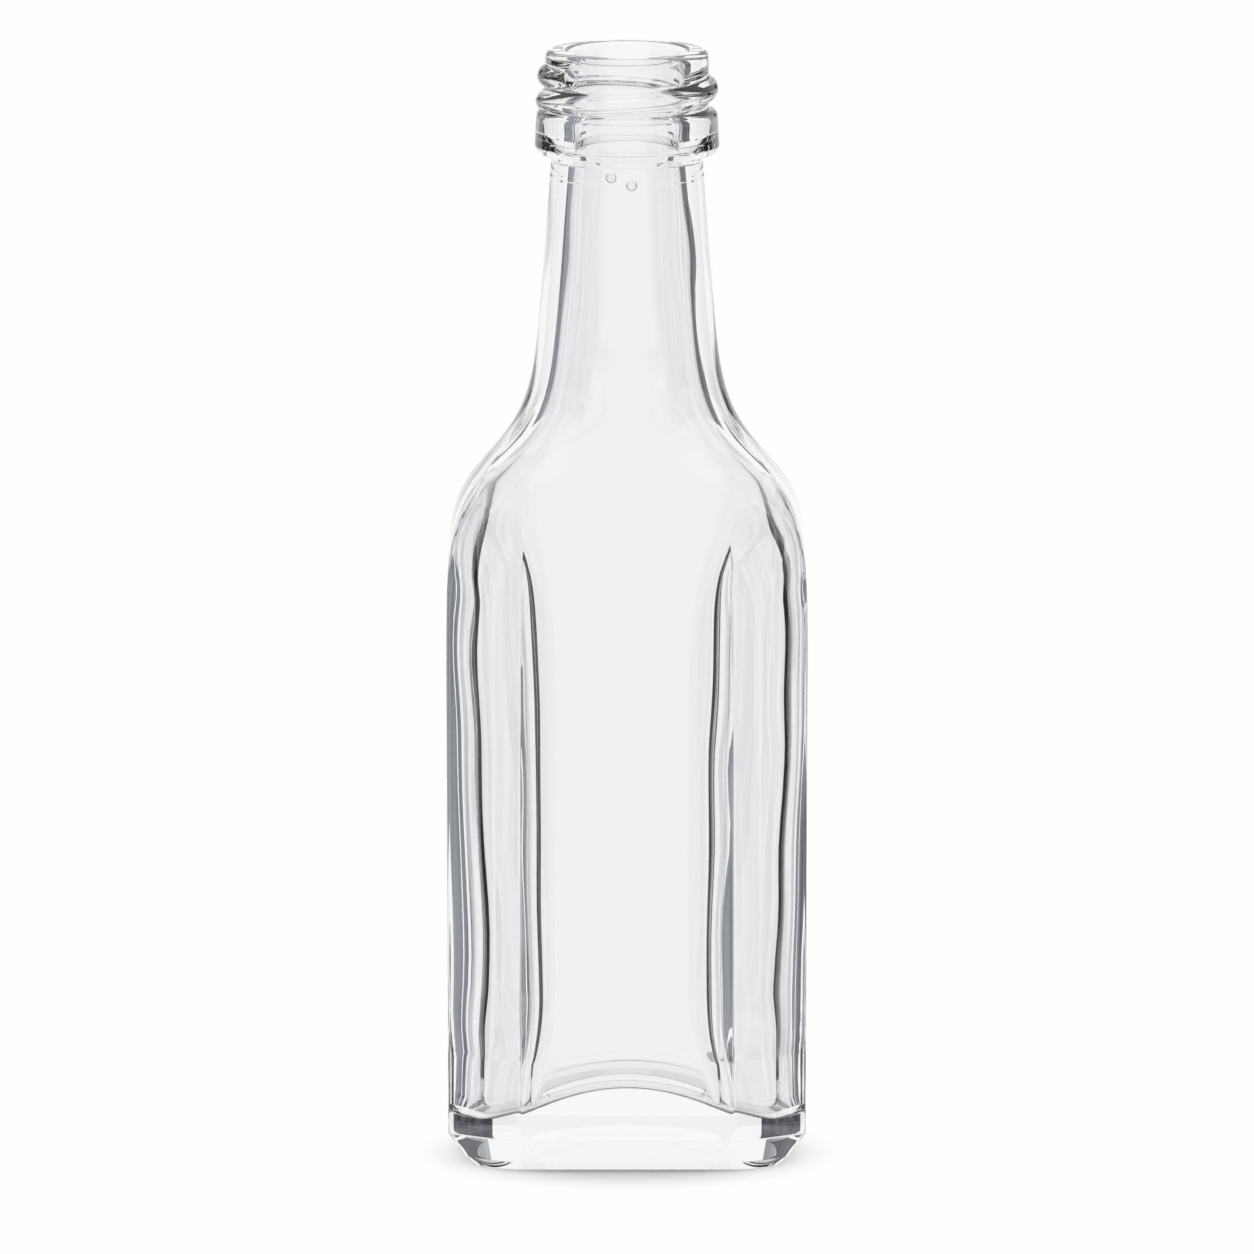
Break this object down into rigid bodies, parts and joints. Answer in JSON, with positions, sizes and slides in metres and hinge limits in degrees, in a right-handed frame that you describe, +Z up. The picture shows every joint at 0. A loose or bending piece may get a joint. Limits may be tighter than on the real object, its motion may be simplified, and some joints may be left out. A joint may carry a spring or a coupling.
{
  "type": "spirit bottle",
  "caption": "Small empty clear-glass spirit bottle with a bevelled rectangular body, rounded shoulders, slim round neck and a screw-thread mouth.",
  "frame": {"origin": "centre of the foot ring, on the plane the bottle stands on", "axes": "+Z up the neck's axis to the mouth, -Y out of the front panel, +X to the right of it"},
  "size_m": [0.036, 0.029, 0.1109],
  "materials": {
    "flint_glass": "clear flint container glass, fire-polished"
  },
  "bodies": {
    "root": {"bottle": "flint_glass"}
  },
  "joints": []
}
